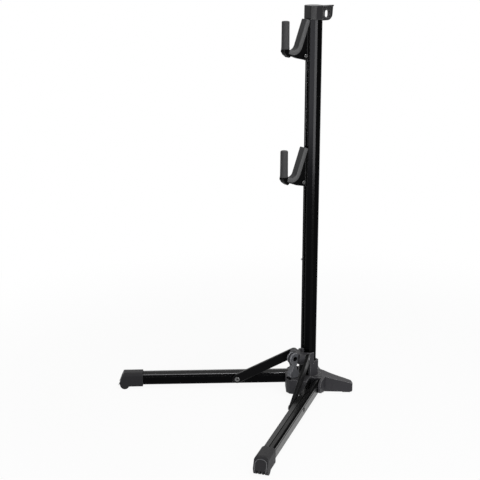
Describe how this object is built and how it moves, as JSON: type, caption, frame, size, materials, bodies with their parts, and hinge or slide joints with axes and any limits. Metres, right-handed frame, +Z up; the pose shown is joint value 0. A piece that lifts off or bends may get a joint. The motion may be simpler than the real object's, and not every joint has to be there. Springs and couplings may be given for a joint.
{
  "type": "portable bicycle stand",
  "caption": "Folding floor stand that lifts a bicycle by its frame tubes: an upright with padded hooks on hinged legs tied by struts to a latched slider.",
  "frame": {"origin": "on the floor, on the upright's axis", "axes": "+Z up the upright, -Y the way the hooks and the folding legs reach, +Y towards the rear feet, X across the stand"},
  "size_m": [0.5038, 0.384, 0.78],
  "materials": {
    "black_anodised": "anodised black",
    "charcoal_plastic": "fine grain",
    "grey_rubber": "matte",
    "black_nylon": "satin",
    "zinc_steel": "zinc plated",
    "cast_grey": "cast, painted grey",
    "black_steel": "blackened"
  },
  "bodies": {
    "base": {"upright_tube": "black_anodised", "top_cap": "charcoal_plastic", "base_hub": "charcoal_plastic", "tube_plug": "charcoal_plastic", "base_bolt": "zinc_steel", "stop_screw": "zinc_steel", "rear_sole_left": "grey_rubber", "rear_sole_right": "grey_rubber", "leg_pin_left": "black_steel", "leg_pin_right": "black_steel"},
    "left_leg": {"leg_left": "black_anodised", "foot_cap_left": "charcoal_plastic", "strut_nut_left": "black_steel"},
    "right_leg": {"leg_right": "black_anodised", "foot_cap_right": "charcoal_plastic", "strut_nut_right": "black_steel"},
    "slider_block": {"slider": "charcoal_plastic", "latch_pin": "black_steel", "strut_pin_left": "zinc_steel", "strut_pin_right": "zinc_steel"},
    "left_strut": {"strut_left": "black_anodised", "strut_screw_left": "zinc_steel"},
    "right_strut": {"strut_right": "black_anodised", "strut_screw_right": "zinc_steel"},
    "latch_link": {"latch": "cast_grey"},
    "upper_hook": {"upper_hook_bracket": "black_nylon", "upper_hook_sleeve": "grey_rubber", "upper_hook_pad": "grey_rubber", "upper_hook_screw": "zinc_steel", "upper_hook_nut": "zinc_steel"},
    "lower_hook": {"lower_hook_bracket": "black_nylon", "lower_hook_sleeve": "grey_rubber", "lower_hook_pad": "grey_rubber", "lower_hook_screw": "zinc_steel", "lower_hook_nut": "zinc_steel"}
  },
  "joints": [
    {"name": "left_leg_fold", "type": "hinge", "parent": "base", "child": "left_leg", "pos_m": [-0.03565, -0.01202, 0.024], "axis": [-0.8181, 0.575, 0], "range_deg": [0, 90]},
    {"name": "right_leg_fold", "type": "hinge", "parent": "base", "child": "right_leg", "pos_m": [0.03565, -0.01202, 0.024], "axis": [-0.8181, -0.575, 0], "range_deg": [0, 90]},
    {"name": "slider_travel", "type": "slide", "parent": "base", "child": "slider_block", "axis": [0, 0, 1], "range_m": [0, 0.1875]},
    {"name": "left_strut_swing", "type": "hinge", "parent": "slider_block", "child": "left_strut", "pos_m": [-0.0228, -0.01861, 0.08], "axis": [0.8181, -0.575, 0], "range_deg": [0, 63]},
    {"name": "right_strut_swing", "type": "hinge", "parent": "slider_block", "child": "right_strut", "pos_m": [0.0228, -0.01861, 0.08], "axis": [0.8181, 0.575, 0], "range_deg": [0, 63]},
    {"name": "latch_swing", "type": "hinge", "parent": "slider_block", "child": "latch_link", "pos_m": [0, -0.038, 0.079], "axis": [-1, 0, 0], "range_deg": [0, 60]},
    {"name": "upper_hook_height", "type": "slide", "parent": "base", "child": "upper_hook", "axis": [0, 0, 1], "range_m": [-0.06, 0]},
    {"name": "lower_hook_height", "type": "slide", "parent": "base", "child": "lower_hook", "axis": [0, 0, 1], "range_m": [-0.04, 0.06]}
  ],
  "couplings": [
    {"joint": "right_leg_fold", "follows": "left_leg_fold", "ratio": 1},
    {"joint": "slider_travel", "follows": "left_leg_fold", "m_per_rad": 0.11923},
    {"joint": "left_strut_swing", "follows": "left_leg_fold", "ratio": 0.69265},
    {"joint": "right_strut_swing", "follows": "left_leg_fold", "ratio": 0.69265}
  ]
}
